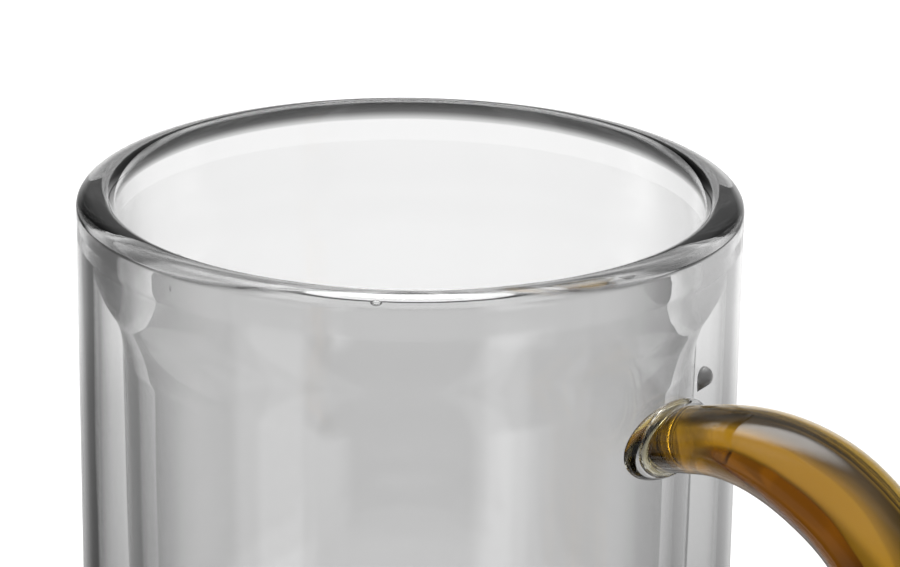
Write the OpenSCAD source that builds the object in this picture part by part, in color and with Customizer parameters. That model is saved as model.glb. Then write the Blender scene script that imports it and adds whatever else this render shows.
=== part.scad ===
// Double walled glass cup with a solid amber glass handle.
// Two blown shells meet in a solid rim. The still air between them keeps the drink hot.

/* [Cup] */
// Height from the table to the top of the rim
cup_h = 90; // [80:1:115]
// Outside diameter of the outer shell
cup_d = 80; // [74:1:96]
// Outside radius of the corner round the foot
foot_round = 8; // [4:0.5:12]

/* [Outer shell] */
// Wall of the outer shell
outer_wall = 1.8; // [1.2:0.1:2.4]
// Base of the outer shell
outer_base = 2.6; // [1.8:0.1:4]

/* [Inner shell] */
// Wall of the inner shell
inner_wall = 1.7; // [1.2:0.1:2.4]
// Bottom of the inner shell
inner_base = 2.4; // [1.8:0.1:4]
// Inside radius of the corner round the bowl
bowl_round = 12; // [6:0.5:18]
// How much the bowl's radius shrinks from the flare down to its corner
bowl_taper = 0.5; // [0:0.1:1.5]
// Height of the flare under the rim
flare_h = 13.5; // [8:0.5:18]

/* [Air space] */
// Air gap between the two walls
wall_gap = 3.5; // [2.5:0.1:6]
// Air gap between the two bottoms
base_gap = 5.5; // [3:0.5:10]
// Width to which the air space closes under the rim
seam_gap = 0.3; // [0.2:0.1:0.8]

/* [Rim] */
// Height of the solid glass over the air space
rim_h = 5.5; // [4.5:0.5:8]
// Width of the rim from the outside to the mouth
rim_w = 4.7; // [4:0.1:5.5]
// Width of the lip's outer rounding
lip_w = 2.8; // [1.6:0.1:3]
// Height of the lip's outer rounding
lip_h = 1.6; // [1:0.1:3]
// Height of the rounding from the lip down into the mouth
mouth_round_h = 2.5; // [1:0.1:4]

/* [Handle] */
// Width of the strap where it stands on the wall
root_w = 11; // [8:0.5:14]
// Thickness of the strap where it stands on the wall
root_t = 7.4; // [5:0.2:9]
// Width of the strap at the grip
grip_w = 14.6; // [10:0.2:18]
// Thickness of the strap at the grip
grip_t = 9.8; // [6:0.2:12]
// Length over which the strap swells from its root to the grip
swell_l = 25; // [10:1:45]
// Straight length of the strap between the wall and the loop
root_l = 6; // [3:0.5:10]
// Angle at which the strap rises off the wall
root_rise = 14; // [0:1:20]
// Radius of the loop at the middle of the strap
loop_r = 25; // [20:0.5:28]
// Height of the loop's centre over the middle of the cup's height
loop_lift = 0.5; // [-4:0.5:5]

/* [Handle joints] */
// Width of the clear glass collar at the two edges of the strap
collar_w = 2; // [0.8:0.1:3]
// Width of the collar over and under the strap
collar_t = 0.8; // [0.5:0.1:2]
// How far the collar stands off the wall
collar_h = 1.3; // [0.6:0.1:2]

/* [Vent] */
// Diameter of the vent through the outer wall
vent_d = 1.4; // [0.8:0.1:1.8]
// Distance of the vent from the loop's plane
vent_side = 6.7; // [5:0.1:9]
// Height of the vent over the middle of the upper joint
vent_rise = 5.7; // [5:0.1:8]
// Diameter of the glass drop that seals the vent
drop_d = 2.4; // [2:0.1:3]
// Length of the drop from its round top to its point
drop_l = 3.2; // [2.8:0.1:4]
// Angle at which the drop's point leans towards the handle
drop_lean = 40; // [0:5:60]

/* [Hidden] */
$fn = 96;
// Chords in a quarter turn of a profile
arc_steps = 8;
// Sides of the strap, and rings along it
strap_sides = 24;
strap_rings = 36;
// Extra length of a cutting tool past what it cuts
past = 1;

outer_r = cup_d / 2;
cavity_r = outer_r - outer_wall;
mouth_r = outer_r - rim_w;
bore_r = cavity_r - wall_gap - inner_wall;
rim_z = cup_h - rim_h;
flare_z = rim_z - flare_h;
bowl_z = outer_base + base_gap + inner_base;

// The strap runs this far into the wall before the wall's face trims it
root_sunk = root_t / 2;
loop_z = cup_h / 2 + loop_lift;
loop_x = outer_r + root_l * cos(root_rise) + loop_r * sin(root_rise);
loop_turn = 90 + root_rise;
loop_l = loop_r * 2 * loop_turn * PI / 180;
strap_l = 2 * root_l + loop_l;
root_z = loop_z + loop_r * cos(root_rise) - root_l * sin(root_rise);

vent_z = root_z + vent_rise;
vent_turn = asin(vent_side / outer_r);

// Points of an arc round [x, y] from angle a to angle b. first = 1 leaves out its first point,
// where the arc goes on from a point that is already in the outline. tall makes it an oval.
function arc(x, y, r, a, b, first = 0, tall = 1) =
    let (steps = max(2, ceil(abs(b - a) / 90 * arc_steps)))
    [for (i = [first : steps]) let (t = a + (b - a) * i / steps) [x + r * cos(t), y + r * tall * sin(t)]];

function backwards(points) = [for (i = [len(points) - 1 : -1 : 0]) points[i]];

// Flare of the bowl from radius low up to radius high at the rim: two equal arcs, upright at both ends
function flare(low, high) =
    let (turn = 2 * atan((high - low) / flare_h), r = flare_h / 2 / sin(turn))
    concat(
        arc(low + r, flare_z, r, 180, 180 - turn),
        arc(high - r, rim_z, r, -turn, 0, 1)
    );

// Angle round the loop at length s along the strap, from the upper end to the lower one
function loop_angle(s) = loop_turn - min(max(s - root_l, 0), loop_l) / loop_l * 2 * loop_turn;

// Length by which s lies past the loop, on either straight end
function straight(s) = min(s - root_l, 0) + max(s - root_l - loop_l, 0);

// Share of the swelling that the strap has at length s: none at the wall, all at the grip
function swell(s) =
    let (t = min(max(min(s, strap_l - s) / swell_l, 0), 1))
    t * t * (3 - 2 * t);

// Ring of points round the strap at length s, an oval square to the strap's own line
function strap_ring(s) =
    let (
        a = loop_angle(s),
        x = loop_x + loop_r * cos(a) + straight(s) * sin(a),
        z = loop_z + loop_r * sin(a) - straight(s) * cos(a),
        t = (root_t + (grip_t - root_t) * swell(s)) / 2,
        w = (root_w + (grip_w - root_w) * swell(s)) / 2
    )
    [for (i = [0 : strap_sides - 1]) let (u = 360 * i / strap_sides)
        [x + t * cos(u) * cos(a), w * sin(u), z + t * cos(u) * sin(a)]];

// Strap of oval section that swells to the grip: rings along its line, joined by triangles
module strap() {
    n = strap_sides;
    run = strap_l + 2 * root_sunk;
    rings = [for (k = [0 : strap_rings]) strap_ring(run * k / strap_rings - root_sunk)];
    sides = [for (k = [0 : strap_rings - 1], i = [0 : n - 1], half = [0, 1])
        let (j = (i + 1) % n, a = k * n, b = a + n)
        half == 0 ? [a + i, a + j, b + i] : [a + j, b + j, b + i]];
    first_end = [for (i = [n - 1 : -1 : 0]) i];
    last_end = [for (i = [0 : n - 1]) strap_rings * n + i];
    polyhedron([for (ring = rings, p = ring) p], concat(sides, [first_end, last_end]));
}

// Oval post along the straight upper end of the strap, as wide as the collar
module collar_post() {
    translate([outer_r, 0, root_z]) rotate([0, 90 - root_rise, 0])
        linear_extrude(2 * (collar_h + root_t), center = true)
            polygon([for (i = [0 : strap_sides * 2 - 1]) let (u = 180 * i / strap_sides)
                [(root_t / 2 + collar_t) * cos(u), (root_w / 2 + collar_w) * sin(u)]]);
}

// Turns a shape over to the lower end of the loop
module at_lower_end() {
    translate([0, 0, 2 * loop_z]) mirror([0, 0, 1]) children();
}

// Everything within a radius of the cup's axis
module round_core(r) {
    translate([0, 0, -past]) cylinder(r = r, h = cup_h + 2 * past);
}

// Places a shape that was made on the vent's own axes, X outwards
module at_vent() {
    rotate([0, 0, vent_turn]) translate([0, 0, vent_z]) children();
}

// Collar of clear glass that the heat draws up round an end of the strap
module joint_collar() {
    color("aliceblue", 0.5) difference() {
        intersection() {
            collar_post();
            round_core(outer_r + collar_h);
        }
        strap();
        round_core(outer_r);
    }
}

// Blown outer shell: foot, straight wall and the vent hole
module outer_shell() {
    inside_round = foot_round - outer_wall;
    color("lightcyan", 0.35) difference() {
        rotate_extrude() polygon(concat(
            [[0, 0]],
            arc(outer_r - foot_round, foot_round, foot_round, -90, 0),
            [[outer_r, rim_z], [cavity_r, rim_z]],
            arc(cavity_r - inside_round, outer_base + inside_round, inside_round, 0, -90),
            [[0, outer_base]]
        ));
        at_vent() rotate([0, 90, 0]) cylinder(d = vent_d, h = outer_r + past);
    }
}

// Blown inner shell: the bowl, which flares out and thickens to the rim at its top
module inner_shell() {
    base_r = bore_r - bowl_taper;
    back_z = bowl_z - inner_base;
    back_round = bowl_round + inner_wall;
    color("lightcyan", 0.35) rotate_extrude() polygon(concat(
        [[0, bowl_z]],
        arc(base_r - bowl_round, bowl_z + bowl_round, bowl_round, -90, 0),
        flare(bore_r, mouth_r),
        backwards(flare(bore_r + inner_wall, cavity_r - seam_gap)),
        arc(base_r - bowl_round, back_z + back_round, back_round, 0, -90),
        [[0, back_z]]
    ));
}

// Solid lip in which the two shells are melted together
module rim() {
    mouth_round_w = rim_w - lip_w;
    seam_r = cavity_r - seam_gap / 2;
    color("aliceblue", 0.5) rotate_extrude() polygon(concat(
        [[mouth_r, rim_z]],
        arc(mouth_r + mouth_round_w, cup_h - mouth_round_h, mouth_round_w, 180, 90,
            tall = mouth_round_h / mouth_round_w),
        arc(outer_r - lip_w, cup_h - lip_h, lip_w, 90, 0, 1, lip_h / lip_w),
        [[outer_r, rim_z]],
        arc(seam_r, rim_z, seam_gap / 2, 0, 180)
    ));
}

// Solid loop of amber glass that stands on the wall with both ends
module handle() {
    color("goldenrod", 0.8) difference() {
        strap();
        round_core(outer_r);
    }
}

module upper_joint() {
    joint_collar();
}

module lower_joint() {
    at_lower_end() joint_collar();
}

// Drop of glass that closes the vent: a stem in the hole, and half a tear that lies on the wall
module vent_seal() {
    drop_r = drop_d / 2;
    tail = drop_l - drop_r;
    side = acos(drop_r / tail);
    color("aliceblue", 0.6) at_vent() union() {
        difference() {
            rotate([0, 90, 0]) cylinder(d = vent_d, h = outer_r + drop_r / 4);
            translate([0, 0, -vent_z]) round_core(cavity_r);
        }
        translate([outer_r, 0, 0]) rotate([-drop_lean, 0, 0]) rotate([0, 0, -90]) rotate_extrude(angle = 180)
            polygon(concat(arc(0, 0, drop_r, 90, side - 90), [[0, -tail]]));
    }
}

outer_shell();
inner_shell();
rim();
handle();
upper_joint();
lower_joint();
vent_seal();
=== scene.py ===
import math
import bmesh
import bpy
from mathutils import Matrix, Vector


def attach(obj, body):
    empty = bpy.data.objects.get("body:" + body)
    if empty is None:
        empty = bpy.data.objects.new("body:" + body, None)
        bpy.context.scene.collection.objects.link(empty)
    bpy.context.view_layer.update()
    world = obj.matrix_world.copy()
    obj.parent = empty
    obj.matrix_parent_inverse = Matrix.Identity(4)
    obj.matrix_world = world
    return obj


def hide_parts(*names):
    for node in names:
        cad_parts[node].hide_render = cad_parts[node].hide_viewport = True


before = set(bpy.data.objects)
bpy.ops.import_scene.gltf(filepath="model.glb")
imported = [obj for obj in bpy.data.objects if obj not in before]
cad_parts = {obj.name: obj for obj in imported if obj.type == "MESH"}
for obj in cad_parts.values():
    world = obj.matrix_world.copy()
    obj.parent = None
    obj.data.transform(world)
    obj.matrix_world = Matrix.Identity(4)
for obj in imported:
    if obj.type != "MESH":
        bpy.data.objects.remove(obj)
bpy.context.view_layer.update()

# Camera: a long lens, a little above the rim and to the handle's side of the cup.
# It is aimed between the mouth and the handle, and leans by less than a degree.
camera = bpy.data.objects.new("camera", bpy.data.cameras.new("camera"))
camera.data.sensor_width = 36.0
camera.data.lens = 150.08
camera.data.clip_start = 0.01
camera_at = Vector((0.28105, -0.32331, 0.22779))
aimed_at = Vector((0.00606, 0.00038, 0.07910))
lean = Matrix.Rotation(math.radians(0.795), 4, "Z")
look = (aimed_at - camera_at).to_track_quat("-Z", "Y").to_matrix().to_4x4()
camera.matrix_world = Matrix.Translation(camera_at) @ look @ lean
bpy.context.scene.collection.objects.link(camera)
bpy.context.scene.camera = camera

# Clear body: the outer shell, the bowl and the rim, blown from borosilicate glass tube.
# The flame melts both shells together at the rim, so they are one piece of glass
# round a sealed air space. All sizes are in mm, along the wall's profile.
cup_h, outer_r, cavity_r = 90, 40, 38.2
foot_round, foot_back_round, outer_base = 8, 6.2, 2.6
crest_r, lip_h, mouth_r, mouth_round_h = 37.2, 1.6, 35.3, 2.5
seam_z, flare_z, bore_r, inner_wall = 84.5, 71, 33, 1.7
bowl_z, bowl_round, bowl_taper, inner_base = 10.5, 12, 0.5, 2.4
# A short stretch next to each bend keeps the long wall's shading flat.
beside_bend = 0.5
foot_steps, lip_steps, mouth_steps, flare_steps, bowl_steps = 16, 32, 24, 20, 20
round_steps, weld = 320, 1e-6


def wall_line(profile, end, r, z):
    """Draws a straight stretch of a wall's profile to radius r and height z."""
    tip = bmesh.ops.extrude_vert_indiv(profile, verts=[end])["verts"][0]
    tip.co = (r / 1000, 0, z / 1000)
    return tip


def wall_bend(profile, end, r, z, degrees, steps, tall=1.0):
    """Bends a wall's profile round r, z: positive turns from +X to +Z, tall stretches it upright."""
    drawn = set(profile.verts)
    turned = bmesh.ops.spin(profile, geom=[end], cent=(r / 1000, 0, z / 1000), axis=(0, -1, 0),
                            dvec=(0, 0, 0), angle=math.radians(degrees), steps=steps)
    bent = [v for v in profile.verts if v not in drawn]
    bmesh.ops.scale(profile, vec=(1, 1, tall), space=Matrix.Translation((0, 0, -end.co.z)), verts=bent)
    return [part for part in turned["geom_last"] if isinstance(part, bmesh.types.BMVert)][0]


def wall_flare(profile, end, r, z):
    """Brings a wall in and down to r, z by two equal bends, upright at both ends."""
    r0, z0 = end.co.x * 1000, end.co.z * 1000
    turn = 2 * math.atan((r0 - r) / (z0 - z))
    sweep = (z0 - z) / 2 / math.sin(turn)
    end = wall_bend(profile, end, r0 - sweep, z0, -math.degrees(turn), flare_steps)
    return wall_bend(profile, end, r + sweep, z, math.degrees(turn), flare_steps)


def turn_glass(profile, steps):
    """Turns a profile round the upright axis and closes its seam and its poles."""
    bmesh.ops.spin(profile, geom=profile.verts[:] + profile.edges[:], cent=(0, 0, 0), axis=(0, 0, 1),
                   dvec=(0, 0, 0), angle=math.tau, steps=steps, use_merge=True)
    bmesh.ops.remove_doubles(profile, verts=profile.verts[:], dist=weld)
    bmesh.ops.recalc_face_normals(profile, faces=profile.faces[:])


# Air space: up the back of the outer wall to a fine edge, then down the back of the bowl.
air = bmesh.new()
end = air.verts.new((0, 0, outer_base / 1000))
end = wall_line(air, end, cavity_r - foot_back_round, outer_base)
end = wall_bend(air, end, cavity_r - foot_back_round, outer_base + foot_back_round, 90, foot_steps)
end = wall_line(air, end, cavity_r, outer_base + foot_back_round + beside_bend)
end = wall_line(air, end, cavity_r, seam_z)
end = wall_flare(air, end, bore_r + inner_wall, flare_z)
back_round = bowl_round + inner_wall
back_r = bore_r - bowl_taper + inner_wall
back_z = bowl_z - inner_base
end = wall_line(air, end, bore_r + inner_wall, flare_z - beside_bend)
end = wall_line(air, end, back_r, back_z + back_round + beside_bend)
end = wall_line(air, end, back_r, back_z + back_round)
end = wall_bend(air, end, back_r - back_round, back_z + back_round, -90, bowl_steps)
wall_line(air, end, 0, back_z)
turn_glass(air, round_steps)
at_seam = 0.001
for edge in air.edges:
    edge.smooth = any(abs(v.co.z * 1000 - seam_z) > at_seam for v in edge.verts)
bmesh.ops.reverse_faces(air, faces=air.faces[:])
air_space = bpy.data.meshes.new("air_space")
air.to_mesh(air_space)
air.free()

# Glass: the foot, the outer wall, the lip, the mouth, the flare and the bowl.
body = bmesh.new()
end = body.verts.new((0, 0, 0))
end = wall_line(body, end, outer_r - foot_round, 0)
end = wall_bend(body, end, outer_r - foot_round, foot_round, 90, foot_steps)
end = wall_line(body, end, outer_r, foot_round + beside_bend)
end = wall_line(body, end, outer_r, cup_h - lip_h - beside_bend)
end = wall_line(body, end, outer_r, cup_h - lip_h)
end = wall_bend(body, end, crest_r, cup_h - lip_h, 90, lip_steps, lip_h / (outer_r - crest_r))
mouth_round = crest_r - mouth_r
end = wall_bend(body, end, crest_r, cup_h - mouth_round, 90, mouth_steps, mouth_round_h / mouth_round)
end = wall_line(body, end, mouth_r, cup_h - mouth_round_h - beside_bend)
end = wall_line(body, end, mouth_r, seam_z + beside_bend)
end = wall_line(body, end, mouth_r, seam_z)
end = wall_flare(body, end, bore_r, flare_z)
end = wall_line(body, end, bore_r, flare_z - beside_bend)
end = wall_line(body, end, bore_r - bowl_taper, bowl_z + bowl_round + beside_bend)
end = wall_line(body, end, bore_r - bowl_taper, bowl_z + bowl_round)
end = wall_bend(body, end, bore_r - bowl_taper - bowl_round, bowl_z + bowl_round, -90, bowl_steps)
wall_line(body, end, 0, bowl_z)
turn_glass(body, round_steps)
body.from_mesh(air_space)

# Seeds: small bubbles left in the glass, one in the lip and two in the wall, drawn out as it was blown.
# Each has its turn round the cup in degrees, then its radius, height, half width and half height.
seeds = ((-54.5, 38.2, 88.5, 0.65, 0.25), (-92, 39.2, 87.0, 0.1, 0.35), (-105.6, 39.3, 84.4, 0.12, 0.12))
for turn, r, z, wide, high in seeds:
    seed_at = Matrix.Rotation(math.radians(turn), 4, "Z") @ Matrix.Translation((r / 1000, 0, z / 1000))
    shape = Matrix.Diagonal((min(wide, high) / 1000, wide / 1000, high / 1000, 1))
    seed = bmesh.ops.create_uvsphere(body, u_segments=16, v_segments=10, radius=1, matrix=seed_at @ shape)
    bmesh.ops.reverse_faces(body, faces=list({face for v in seed["verts"] for face in v.link_faces}))
for face in body.faces:
    face.smooth = True


def to_linear(code):
    """sRGB hex colour to the linear values that shaders take."""
    parts = [int(code[i:i + 2], 16) / 255 for i in (1, 3, 5)]
    return tuple(c / 12.92 if c <= 0.04045 else ((c + 0.055) / 1.055) ** 2.4 for c in parts) + (1.0,)


def add_node(tree, kind, settings=None, values=None, links=None):
    """Adds a node with its settings, socket values and links from other nodes' sockets."""
    made = tree.nodes.new(kind)
    for name, value in (settings or {}).items():
        setattr(made, name, value)
    for socket, value in (values or {}).items():
        made.inputs[socket].default_value = value
    for socket, source in (links or {}).items():
        tree.links.new(source, made.inputs[socket])
    return made


# Borosilicate glass, blown from drawn tube and polished by the flame: clear and almost without colour.
# Faint upright waves, 13 in 100 mm, bend what is seen through it, and wiped patches soften reflections.
# A little light is lost with depth, which greys the thick rim.
wave_mm, wave_high, wave_drawn = 100 / 13, 0.00002, 0.12
borosilicate = bpy.data.materials.new("borosilicate glass")
borosilicate.use_nodes = True
tree = borosilicate.node_tree
tree.nodes.clear()
place = add_node(tree, "ShaderNodeTexCoord")
drawn = add_node(tree, "ShaderNodeMapping", values={"Scale": (1, 1, wave_drawn)},
                 links={"Vector": place.outputs["Object"]})
waves = add_node(tree, "ShaderNodeTexNoise", values={"Scale": 1000 / wave_mm, "Detail": 2.0},
                 links={"Vector": drawn.outputs["Vector"]})
relief = add_node(tree, "ShaderNodeBump", values={"Strength": 1.0, "Distance": wave_high},
                  links={"Height": waves.outputs["Fac"]})
wiped = add_node(tree, "ShaderNodeMapRange", values={"From Min": 0.45, "From Max": 0.75, "To Max": 0.02},
                 links={"Value": waves.outputs["Fac"]})
glass = add_node(tree, "ShaderNodeBsdfPrincipled",
                 values={"Base Color": to_linear("#FFFFFF"), "IOR": 1.473, "Transmission Weight": 1.0},
                 links={"Roughness": wiped.outputs["Result"], "Normal": relief.outputs["Normal"]})
depth = add_node(tree, "ShaderNodeVolumeAbsorption",
                 values={"Color": to_linear("#000000"), "Density": 8.0})
add_node(tree, "ShaderNodeOutputMaterial",
         links={"Surface": glass.outputs["BSDF"], "Volume": depth.outputs["Volume"]})

cup = bpy.data.objects.new("clear_glass_body", bpy.data.meshes.new("clear_glass_body"))
body.to_mesh(cup.data)
body.free()
cup.data.materials.append(borosilicate)
bpy.context.scene.collection.objects.link(cup)
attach(cup, "root")
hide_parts("outer_shell", "inner_shell", "rim")

# Handle: a solid rod of amber glass, pressed oval and bent to a loop while it is soft.
# It swells from its roots to the grip, and both ends are melted a little way into the wall.
# Its sizes are in metres, as are those of the pieces after it.
wall_r, melted = outer_r / 1000, 0.0003
loop_r, root_l, rise = 0.025, 0.006, math.radians(14)
loop_x = wall_r + root_l * math.cos(rise) + loop_r * math.sin(rise)
loop_z = 0.0455
root_half, swell_half, swell_l = Vector((0.0037, 0.0055)), Vector((0.0012, 0.0018)), 0.025
along_root = Vector((math.cos(rise), 0, math.sin(rise)))
rod_sides, root_rings, loop_rings, cap_rings, rod_weld = 72, 5, 44, 3, 1e-5
sharp_edge = math.radians(40)


def rod_place(s):
    """Where the rod's oval lies at length s from the wall: its centre, its turn and its half sizes."""
    turn = math.pi / 2 + rise - max(s - root_l, 0) / loop_r
    straight = min(s - root_l, 0)
    share = min(max(s / swell_l, 0), 1)
    half = root_half + swell_half * share * share * (3 - 2 * share)
    centre = Vector((loop_x + loop_r * math.cos(turn) + straight * math.sin(turn), 0,
                     loop_z + loop_r * math.sin(turn) - straight * math.cos(turn)))
    return Matrix.Translation(centre) @ Matrix.Rotation(-turn, 4, "Y") @ Matrix.Diagonal((*half, 1, 1))


def seat_on_wall(verts, r):
    """Slides points along the rod's root until they lie at radius r from the cup's axis."""
    for v in verts:
        v.co += along_root * ((math.sqrt(r * r - v.co.y * v.co.y) - v.co.x) / along_root.x)


def next_ring(mesh, edges):
    """Extrudes the last ring of a tube, and gives the new ring's points and edges."""
    grown = bmesh.ops.extrude_edge_only(mesh, edges=edges)["geom"]
    ring = [part for part in grown if isinstance(part, bmesh.types.BMVert)]
    drawn_edges = [part for part in grown if isinstance(part, bmesh.types.BMEdge)]
    return ring, [edge for edge in drawn_edges if set(edge.verts) <= set(ring)]


def round_off(mesh):
    """Shades a mesh smooth, apart from its sharp edges."""
    for face in mesh.faces:
        face.smooth = True
    for edge in mesh.edges:
        edge.smooth = edge.calc_face_angle() < sharp_edge


rod = bmesh.new()
half_loop = (math.pi / 2 + rise) * loop_r
lengths = [root_l * i / root_rings for i in range(1, root_rings)]
lengths += [root_l + half_loop * i / loop_rings for i in range(loop_rings + 1)]
ring = bmesh.ops.create_circle(rod, segments=rod_sides, radius=1)["verts"]
edges = root_edges = rod.edges[:]
before = rod_place(0)
bmesh.ops.transform(rod, matrix=before, verts=ring)
for s in lengths:
    ring, edges = next_ring(rod, edges)
    bmesh.ops.transform(rod, matrix=rod_place(s) @ before.inverted(), verts=ring)
    before = rod_place(s)
seat_on_wall({v for edge in root_edges for v in edge.verts}, wall_r - melted)
cap = bmesh.ops.edgeloop_fill(rod, edges=root_edges)["faces"]
for step in range(cap_rings):
    bmesh.ops.inset_region(rod, faces=cap, thickness=root_half.x / (cap_rings + 1))
    seat_on_wall({v for face in cap for v in face.verts}, wall_r - melted)
bmesh.ops.mirror(rod, geom=rod.verts[:] + rod.edges[:] + rod.faces[:],
                 matrix=Matrix.Translation((0, 0, -loop_z)), merge_dist=rod_weld, axis="Z")
bmesh.ops.remove_doubles(rod, verts=rod.verts[:], dist=rod_weld)
bmesh.ops.recalc_face_normals(rod, faces=rod.faces[:])
round_off(rod)

# Amber glass, drawn to a rod and bent by hand: its colour comes from its depth, pale at thin edges
# and deep gold where it is thick. Soft waves, 11 in 100 mm, break up its reflections.
amber_wave_mm, amber_wave_high = 100 / 11, 0.00012
amber = bpy.data.materials.new("amber glass")
amber.use_nodes = True
tree = amber.node_tree
tree.nodes.clear()
place = add_node(tree, "ShaderNodeTexCoord")
waves = add_node(tree, "ShaderNodeTexNoise", values={"Scale": 1000 / amber_wave_mm, "Detail": 1.5},
                 links={"Vector": place.outputs["Object"]})
relief = add_node(tree, "ShaderNodeBump", values={"Strength": 1.0, "Distance": amber_wave_high},
                  links={"Height": waves.outputs["Fac"]})
wiped = add_node(tree, "ShaderNodeMapRange", values={"From Min": 0.4, "From Max": 0.7, "To Max": 0.04},
                 links={"Value": waves.outputs["Fac"]})
glass = add_node(tree, "ShaderNodeBsdfPrincipled",
                 values={"Base Color": to_linear("#FFFFFF"), "IOR": 1.5, "Transmission Weight": 1.0},
                 links={"Roughness": wiped.outputs["Result"], "Normal": relief.outputs["Normal"]})
depth = add_node(tree, "ShaderNodeVolumeAbsorption",
                 values={"Color": to_linear("#EEE199"), "Density": 580.0})
add_node(tree, "ShaderNodeOutputMaterial",
         links={"Surface": glass.outputs["BSDF"], "Volume": depth.outputs["Volume"]})

handle = bpy.data.objects.new("handle_glass", bpy.data.meshes.new("handle_glass"))
rod.to_mesh(handle.data)
rod.free()
handle.data.materials.append(amber)
bpy.context.scene.collection.objects.link(handle)
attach(handle, "root")
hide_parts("handle")

# Joint collars: clear glass that the flame draws up round each end of the handle.
# Each is a rounded bead on the wall, sunk a little into the wall and into the rod.
collar = Vector((0.0008, 0.0020))
collar_h = 0.0013
bead_steps = 10
sunk_half = root_half - Vector((melted, melted))
bead_rings = [(root_half + collar, -melted)]
for step in range(bead_steps + 1):
    over = math.pi / 2 * step / bead_steps
    bead_rings.append((root_half + collar * math.cos(over), collar_h * math.sin(over)))
bead_rings += [(sunk_half, collar_h), (sunk_half, -melted)]
root_turn = Matrix.Translation(rod_place(0).translation) @ Matrix.Rotation(-math.pi / 2 - rise, 4, "Y")
for name, node, side in (("upper_collar", "upper_joint", 1), ("lower_collar", "lower_joint", -1)):
    bead = bmesh.new()
    ring = bmesh.ops.create_circle(bead, segments=rod_sides, radius=1)["verts"]
    edges = wall_edges = bead.edges[:]
    before = Matrix.Identity(4)
    for ring_no, (half, height) in enumerate(bead_rings):
        if ring_no:
            ring, edges = next_ring(bead, edges)
        bead_at = root_turn @ Matrix.Diagonal((*half, 1, 1))
        bmesh.ops.transform(bead, matrix=bead_at @ before.inverted(), verts=ring)
        seat_on_wall(ring, wall_r + height)
        before = bead_at
    bmesh.ops.bridge_loops(bead, edges=wall_edges + edges)
    bmesh.ops.scale(bead, vec=(1, 1, side), space=Matrix.Translation((0, 0, -loop_z)), verts=bead.verts[:])
    bmesh.ops.recalc_face_normals(bead, faces=bead.faces[:])
    round_off(bead)
    piece = bpy.data.objects.new(name, bpy.data.meshes.new(name))
    bead.to_mesh(piece.data)
    bead.free()
    piece.data.materials.append(borosilicate)
    bpy.context.scene.collection.objects.link(piece)
    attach(piece, "root")
    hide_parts(node)

# Vent seal: the drop of glass that closes the hole through which the air space was blown.
# It is a tear that lies on the wall above the handle, with its point drawn down to the collar.
# Its profile is in mm, as the wall's is, and its place on the wall in metres.
drop_r, drop_tail, drop_lean = 1.2, 2.0, math.radians(40)
drop_steps, drop_sides = 24, 48
vent_side, vent_rise = 0.0067, 0.0057
drop = bmesh.new()
end = drop.verts.new((0, 0, drop_r / 1000))
end = wall_bend(drop, end, 0, 0, math.degrees(math.acos(drop_r / drop_tail)) - 180, drop_steps)
wall_line(drop, end, 0, -drop_tail)
turn_glass(drop, drop_sides)
bmesh.ops.rotate(drop, matrix=Matrix.Rotation(-drop_lean, 3, "X"), verts=drop.verts[:])
bmesh.ops.bisect_plane(drop, geom=drop.verts[:] + drop.edges[:] + drop.faces[:],
                       plane_co=(-melted, 0, 0), plane_no=(-1, 0, 0), clear_outer=True)
bmesh.ops.edgeloop_fill(drop, edges=[edge for edge in drop.edges if edge.is_boundary])
vent = Matrix.Rotation(math.asin(vent_side / wall_r), 4, "Z")
vent = vent @ Matrix.Translation((wall_r, 0, rod_place(0).translation.z + vent_rise))
bmesh.ops.transform(drop, matrix=vent, verts=drop.verts[:])
bmesh.ops.recalc_face_normals(drop, faces=drop.faces[:])
round_off(drop)
seal = bpy.data.objects.new("vent_drop", bpy.data.meshes.new("vent_drop"))
drop.to_mesh(seal.data)
drop.free()

# Clouded borosilicate glass: the flame leaves the drop a little milky, so it looks grey on the wall.
clouded = borosilicate.copy()
clouded.name = "clouded borosilicate glass"
clouded.node_tree.nodes["Principled BSDF"].inputs["Transmission Weight"].default_value = 0.6
seal.data.materials.append(clouded)
bpy.context.scene.collection.objects.link(seal)
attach(seal, "root")
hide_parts("vent_seal")

# Floor: a plain sweep of matt board that looks white to the camera and takes the cup's soft shadow.
# Through the glass only a glowing white spot under the foot is seen, a painted pool of light, and past it
# the room's own light.
floor_half, spot_r, spot_edge_r, board_lift = 2.0, 0.033, 0.036, 0.4
soft_step = {"interpolation_type": "SMOOTHSTEP"}
floor_mesh = bmesh.new()
bmesh.ops.create_grid(floor_mesh, x_segments=2, y_segments=2, size=floor_half)
floor = bpy.data.objects.new("floor", bpy.data.meshes.new("floor"))
floor_mesh.to_mesh(floor.data)
floor_mesh.free()

# Matt white board: an even white without gloss, lifted a little so that only the shadow falls below white.
board = bpy.data.materials.new("matt white board")
board.use_nodes = True
tree = board.node_tree
tree.nodes.clear()
rays = add_node(tree, "ShaderNodeLightPath")
place = add_node(tree, "ShaderNodeTexCoord")
away = add_node(tree, "ShaderNodeVectorMath", {"operation": "LENGTH"}, links={0: place.outputs["Object"]})
# Painted light: a disc under the foot that glows full white, seen only through the glass.
painted_light_pool = add_node(tree, "ShaderNodeMapRange", soft_step,
                {"From Min": spot_r, "From Max": spot_edge_r, "To Min": 1.0, "To Max": 0.0},
                {"Value": away.outputs["Value"]})
white = add_node(tree, "ShaderNodeEmission", values={"Strength": 1.0})
passed = add_node(tree, "ShaderNodeBsdfTransparent")
through = add_node(tree, "ShaderNodeMixShader",
                   links={0: painted_light_pool.outputs["Result"], 1: passed.outputs["BSDF"],
                          2: white.outputs["Emission"]})
lift = add_node(tree, "ShaderNodeEmission", values={"Strength": board_lift})
matt = add_node(tree, "ShaderNodeBsdfDiffuse", values={"Color": to_linear("#F2F2F2")})
shown = add_node(tree, "ShaderNodeAddShader", links={0: lift.outputs["Emission"], 1: matt.outputs["BSDF"]})
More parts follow.
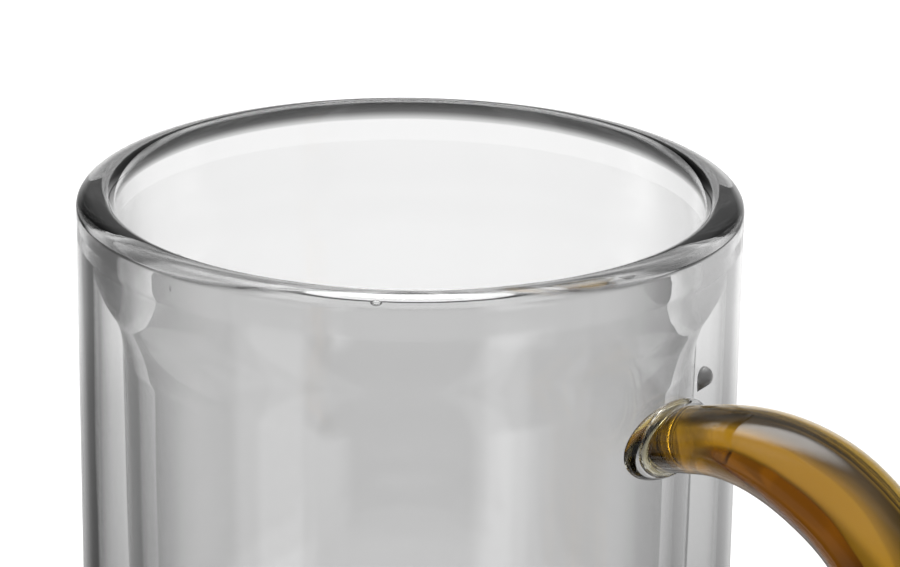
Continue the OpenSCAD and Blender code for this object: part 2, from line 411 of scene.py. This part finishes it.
pick = add_node(tree, "ShaderNodeMixShader",
                links={0: rays.outputs["Is Camera Ray"], 1: through.outputs["Shader"],
                       2: shown.outputs["Shader"]})
add_node(tree, "ShaderNodeOutputMaterial", links={"Surface": pick.outputs["Shader"]})
floor.data.materials.append(board)
bpy.context.scene.collection.objects.link(floor)

# Reflector: a white card curved close round the back of the cup, out of the camera's sight.
# It is seen through the glass only, where it greys the walls evenly, and fades towards its two ends.
# Its top is cut along the line of sight over the front of the rim, which falls by sight_drop.
behind, card_r, card_top, card_sides = math.radians(131), 0.044, 0.072, 144
card_half, card_fade, card_level, card_end_level = math.radians(64), math.radians(38), 0.64, 0.15
rim_front_r, rim_front_z, sight_drop = 0.0375, 0.089, math.tan(math.radians(19.5))
reflector_mesh = bmesh.new()
bmesh.ops.create_circle(reflector_mesh, segments=card_sides, radius=card_r)
ring, edges = next_ring(reflector_mesh, reflector_mesh.edges[:])
for v in ring:
    turn = math.remainder(math.atan2(v.co.y, v.co.x) - behind, math.tau)
    beside = card_r * math.sin(turn)
    rim_front = math.sqrt(max(rim_front_r ** 2 - beside ** 2, 0))
    v.co.z = min(rim_front_z - sight_drop * (card_r * math.cos(turn) + rim_front), card_top)
back_way = Vector((math.cos(behind), math.sin(behind), 0))
past_ends = [v for v in reflector_mesh.verts if v.co.dot(back_way) < card_r * math.cos(card_half)]
bmesh.ops.delete(reflector_mesh, geom=past_ends, context="VERTS")
reflector = bpy.data.objects.new("reflector", bpy.data.meshes.new("reflector"))
reflector_mesh.to_mesh(reflector.data)
reflector_mesh.free()
reflector.visible_camera = False

# White card: an even glow without gloss, as a lit sheet of paper gives.
paper = bpy.data.materials.new("white card")
paper.use_nodes = True
tree = paper.node_tree
tree.nodes.clear()
place = add_node(tree, "ShaderNodeTexCoord")
off = add_node(tree, "ShaderNodeVectorMath", {"operation": "DOT_PRODUCT"}, {1: back_way / card_r},
               {0: place.outputs["Object"]})
fade = add_node(tree, "ShaderNodeMapRange", soft_step,
                {"From Min": math.cos(card_half), "From Max": math.cos(card_fade),
                 "To Min": card_end_level, "To Max": card_level}, {"Value": off.outputs["Value"]})
white = add_node(tree, "ShaderNodeEmission", links={"Strength": fade.outputs["Result"]})
add_node(tree, "ShaderNodeOutputMaterial", links={"Surface": white.outputs["Emission"]})
reflector.data.materials.append(paper)
bpy.context.scene.collection.objects.link(reflector)

# Room: white to the camera. Through the glass it is white round the horizon, dim above and dark below,
# with shaded parts and low bright strips, which give the rim its dark band and the walls their lines.
# Levels round the horizon, each with its height in degrees.
horizon = ((-90, 0.02), (-50, 0.03), (-36, 0.08), (-30, 0.15), (-26, 0.35), (-23, 0.6), (-21, 0.72),
           (-20.2, 0.9), (-19.6, 1.0), (4, 1.0), (12, 0.35))
# Shaded parts: azimuth, degrees to either side that are full and that are clear, and level.
shades = ((174, 8, 33, 0.13), (80, 22, 34, 0.55), (311, 80, 100, 0.3))
# Bright strips: the same, and the height in degrees below which they shine, with a soft edge.
strips = ((262, 11, 14, 0.75, -20), (345, 5, 10, 0.8, -20),
          (200, 20, 34, 0.6, -34), (52, 20, 34, 0.6, -34))
strip_edge = 0.4
# Ceiling: the heights in degrees at which it starts and is full, and its level.
ceiling_from, ceiling_full, ceiling_level = 30, 60, 0.6


def sine(degrees):
    """Sine of an angle in degrees, which is how high a direction at that elevation points."""
    return math.sin(math.radians(degrees))


world = bpy.data.worlds.new("studio room")
bpy.context.scene.world = world
world.use_nodes = True
tree = world.node_tree
tree.nodes.clear()
rays = add_node(tree, "ShaderNodeLightPath")
toward = add_node(tree, "ShaderNodeTexCoord")
way = add_node(tree, "ShaderNodeSeparateXYZ", links={0: toward.outputs["Generated"]})
share = add_node(tree, "ShaderNodeMapRange", values={"From Min": -1.0, "From Max": 1.0},
                 links={"Value": way.outputs["Z"]})
lit = add_node(tree, "ShaderNodeValToRGB", links={"Fac": share.outputs["Result"]})
while len(lit.color_ramp.elements) < len(horizon):
    lit.color_ramp.elements.new(1.0)
for stop, (elevation, level) in zip(lit.color_ramp.elements, horizon):
    stop.position = (sine(elevation) + 1) / 2
    stop.color = (level, level, level, 1)
flat = add_node(tree, "ShaderNodeCombineXYZ", links={"X": way.outputs["X"], "Y": way.outputs["Y"]})
bearing = add_node(tree, "ShaderNodeVectorMath", {"operation": "NORMALIZE"},
                   links={0: flat.outputs["Vector"]})


def room_part(azimuth, full, clear, level, elsewhere):
    """Level of a part of the room that stands at an azimuth and fades out to either side."""
    middle = (math.cos(math.radians(azimuth)), sine(azimuth), 0)
    beside = add_node(tree, "ShaderNodeVectorMath", {"operation": "DOT_PRODUCT"}, {1: middle},
                      {0: bearing.outputs["Vector"]})
    part = add_node(tree, "ShaderNodeMapRange", soft_step,
                    {"From Min": math.cos(math.radians(clear)), "From Max": math.cos(math.radians(full)),
                     "To Min": elsewhere, "To Max": level}, {"Value": beside.outputs["Value"]})
    return part.outputs["Result"]


shade = lit.outputs["Color"]
for azimuth, full, clear, level in shades:
    part = room_part(azimuth, full, clear, level, 1.0)
    shade = add_node(tree, "ShaderNodeMath", {"operation": "MULTIPLY"},
                     links={0: shade, 1: part}).outputs["Value"]
for azimuth, full, clear, level, top in strips:
    part = room_part(azimuth, full, clear, level, 0.0)
    low = add_node(tree, "ShaderNodeMapRange", soft_step,
                   {"From Min": sine(top - strip_edge), "From Max": sine(top + strip_edge),
                    "To Min": 1.0, "To Max": 0.0}, {"Value": way.outputs["Z"]})
    shade = add_node(tree, "ShaderNodeMath", {"operation": "MULTIPLY_ADD"},
                     links={0: part, 1: low.outputs["Result"], 2: shade}).outputs["Value"]
ceiling = add_node(tree, "ShaderNodeMapRange", soft_step,
                   {"From Min": sine(ceiling_from), "From Max": sine(ceiling_full),
                    "To Max": ceiling_level}, {"Value": way.outputs["Z"]})
shade = add_node(tree, "ShaderNodeMath", {"operation": "ADD"},
                 links={0: shade, 1: ceiling.outputs["Result"]}).outputs["Value"]
strength = add_node(tree, "ShaderNodeMath", {"operation": "MAXIMUM"},
                    links={0: shade, 1: rays.outputs["Is Camera Ray"]})
room = add_node(tree, "ShaderNodeBackground", values={"Color": (1, 1, 1, 1)},
                links={"Strength": strength.outputs["Value"]})
add_node(tree, "ShaderNodeOutputWorld", links={"Surface": room.outputs["Background"]})

# Soft box: one large lamp under white cloth, above the cup and behind it.
# The cloth is brightest in the middle and fades to its edges, so its highlights have soft ends.
box_back, box_up, cloth_bright, cloth_edge = 0.40, 0.75, 0.2, 0.5
soft_box = bpy.data.objects.new("soft_box", bpy.data.lights.new("soft_box", "AREA"))
soft_box.data.shape = "RECTANGLE"
soft_box.data.size = 1.10
soft_box.data.size_y = 0.60
soft_box.data.energy = 9.0
soft_box.data.use_nodes = True
tree = soft_box.data.node_tree
tree.nodes.clear()
cloth = add_node(tree, "ShaderNodeNewGeometry")
off = add_node(tree, "ShaderNodeVectorMath", {"operation": "DISTANCE"}, {1: (0.5, 0.5, 0)},
               {0: cloth.outputs["Parametric"]})
fall = add_node(tree, "ShaderNodeMapRange", soft_step,
                {"From Min": cloth_bright, "From Max": cloth_edge, "To Min": 1.0, "To Max": 0.0},
                {"Value": off.outputs["Value"]})
glow = add_node(tree, "ShaderNodeEmission", links={"Strength": fall.outputs["Result"]})
add_node(tree, "ShaderNodeOutputLight", links={"Surface": glow.outputs["Emission"]})
box_turn = Matrix.Rotation(behind - math.pi / 2, 4, "Z")
soft_box.matrix_world = box_turn @ Matrix.Translation((0, box_back, box_up))
bpy.context.scene.collection.objects.link(soft_box)

# Light crosses many faces of both walls and runs on inside the rim and the handle, so it may turn often.
bpy.context.scene.cycles.max_bounces = 48
bpy.context.scene.cycles.transmission_bounces = 48
bpy.context.scene.cycles.glossy_bounces = 32
bpy.context.scene.view_settings.view_transform = "Standard"
